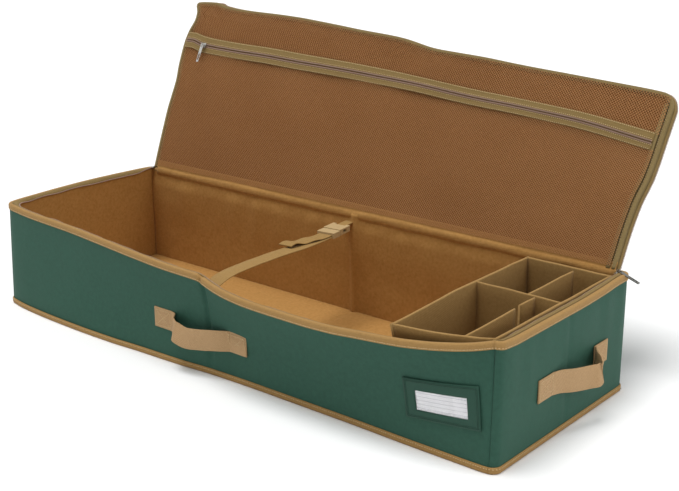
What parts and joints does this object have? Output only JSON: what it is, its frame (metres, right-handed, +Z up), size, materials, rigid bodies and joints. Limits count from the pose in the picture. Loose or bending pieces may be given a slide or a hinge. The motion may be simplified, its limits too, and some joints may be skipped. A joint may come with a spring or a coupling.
{
  "type": "gift wrap organizer",
  "caption": "Long soft storage box for rolls of gift wrap, with a zipped lid, a mesh lid pocket, webbing handles, a roll strap and a lift-out ribbon tray.",
  "frame": {"origin": "centre of the underside of the base", "axes": "+X along the box towards the ribbon tray, +Y towards the lid's hinge, +Z up"},
  "size_m": [1.1006, 0.5324, 0.489],
  "materials": {
    "outer_fabric": "woven, dark green",
    "binding": "woven binding tape, tan",
    "webbing": "ribbed webbing, tan",
    "lining": "smooth woven lining, brown",
    "board": "plain grey board",
    "zip_tape": "zip tape with a nylon coil",
    "net": "open mesh, brown",
    "vinyl": "sewn green vinyl",
    "window_film": "clear film",
    "card": "white card",
    "pull_metal": "dark plated metal",
    "buckle_plastic": "moulded, tan"
  },
  "bodies": {
    "box": {"base_fabric": "outer_fabric", "front_fabric": "outer_fabric", "back_fabric": "outer_fabric", "left_end_fabric": "outer_fabric", "right_end_fabric": "outer_fabric", "hinge_strip": "outer_fabric", "top_binding": "binding", "bottom_binding": "binding", "front_handle_patch_left": "webbing", "front_handle_patch_right": "webbing", "right_handle_patch_left": "webbing", "right_handle_patch_right": "webbing", "left_handle_patch_left": "webbing", "left_handle_patch_right": "webbing", "strap_front": "webbing", "strap_rear": "webbing", "front_lining": "lining", "back_lining": "lining", "left_lining": "lining", "right_lining": "lining", "base_lining": "lining", "front_board_left": "board", "front_board_right": "board", "back_board_left": "board", "back_board_right": "board", "left_board_front": "board", "left_board_rear": "board", "right_board_front": "board", "right_board_rear": "board", "base_board_left": "board", "base_board_right": "board", "box_zip_tape": "zip_tape", "label_holder": "vinyl", "label_window": "window_film", "buckle_socket": "buckle_plastic"},
    "lid": {"lid_fabric": "outer_fabric", "lid_lining": "lining", "lid_binding": "binding", "lid_zip_tape": "zip_tape", "pocket_border": "binding", "pocket_mesh_lower": "net", "pocket_mesh_upper": "net", "pocket_zip_lower": "zip_tape", "pocket_zip_upper": "zip_tape"},
    "main_slider": {"main_zip_slider": "pull_metal"},
    "main_pull": {"main_zip_pull": "pull_metal"},
    "pocket_slider": {"pocket_zip_slider": "pull_metal"},
    "pocket_pull": {"pocket_zip_pull": "pull_metal"},
    "front_handle": {"front_handle_loop": "webbing"},
    "right_handle": {"right_handle_loop": "webbing"},
    "left_handle": {"left_handle_loop": "webbing"},
    "plug": {"buckle_plug": "buckle_plastic", "strap_tail": "webbing"},
    "card": {"label_card": "card"},
    "tray": {"ribbon_tray": "lining", "tray_cross_wall": "lining"},
    "front_flap": {"divider_front": "lining"},
    "middle_flap": {"divider_middle": "lining"},
    "rear_flap": {"divider_rear": "lining"}
  },
  "joints": [
    {"name": "lid_hinge", "type": "hinge", "parent": "box", "child": "lid", "pos_m": [0, 0.176, 0.1878], "axis": [-1, 0, 0], "range_deg": [-117, 95]},
    {"name": "main_zip_slide", "type": "slide", "parent": "box", "child": "main_slider", "axis": [0, -1, 0], "range_m": [0, 0.29]},
    {"name": "main_pull_hinge", "type": "hinge", "parent": "main_slider", "child": "main_pull", "pos_m": [0.50825, 0.1595, 0.1913], "axis": [0, -1, 0], "range_deg": [0, 105]},
    {"name": "pocket_zip_slide", "type": "slide", "parent": "lid", "child": "pocket_slider", "axis": [1, 0, 0], "range_m": [0, 0.94]},
    {"name": "pocket_pull_hinge", "type": "hinge", "parent": "pocket_slider", "child": "pocket_pull", "pos_m": [-0.4717, 0.27857, 0.41983], "axis": [-1, 0, 0], "range_deg": [0, 165]},
    {"name": "front_handle_hinge", "type": "hinge", "parent": "box", "child": "front_handle", "pos_m": [-0.034, -0.1753, 0.083], "axis": [-1, 0, 0], "range_deg": [0, 90]},
    {"name": "right_handle_hinge", "type": "hinge", "parent": "box", "child": "right_handle", "pos_m": [0.5213, 0.016, 0.103], "axis": [0, -1, 0], "range_deg": [0, 90]},
    {"name": "left_handle_hinge", "type": "hinge", "parent": "box", "child": "left_handle", "pos_m": [-0.5213, 0.016, 0.103], "axis": [0, 1, 0], "range_deg": [0, 90]},
    {"name": "buckle_slide", "type": "slide", "parent": "box", "child": "plug", "axis": [0.1232, -0.9924, 0], "range_m": [0, 0.05]},
    {"name": "label_card_slide", "type": "slide", "parent": "box", "child": "card", "axis": [0, 0, 1], "range_m": [0, 0.065]},
    {"name": "tray_lift", "type": "slide", "parent": "box", "child": "tray", "axis": [0, 0, 1], "range_m": [0, 0.19]},
    {"name": "front_flap_hinge", "type": "hinge", "parent": "tray", "child": "front_flap", "pos_m": [0.46, -0.1533, 0.0114], "axis": [0, 0, 1], "range_deg": [-20, 60]},
    {"name": "middle_flap_hinge", "type": "hinge", "parent": "tray", "child": "middle_flap", "pos_m": [0.46, 0.0045, 0.0114], "axis": [0, 0, 1], "range_deg": [-60, 60]},
    {"name": "rear_flap_hinge", "type": "hinge", "parent": "tray", "child": "rear_flap", "pos_m": [0.446, 0.0115, 0.0114], "axis": [0, 0, 1], "range_deg": [-23, 37]}
  ]
}
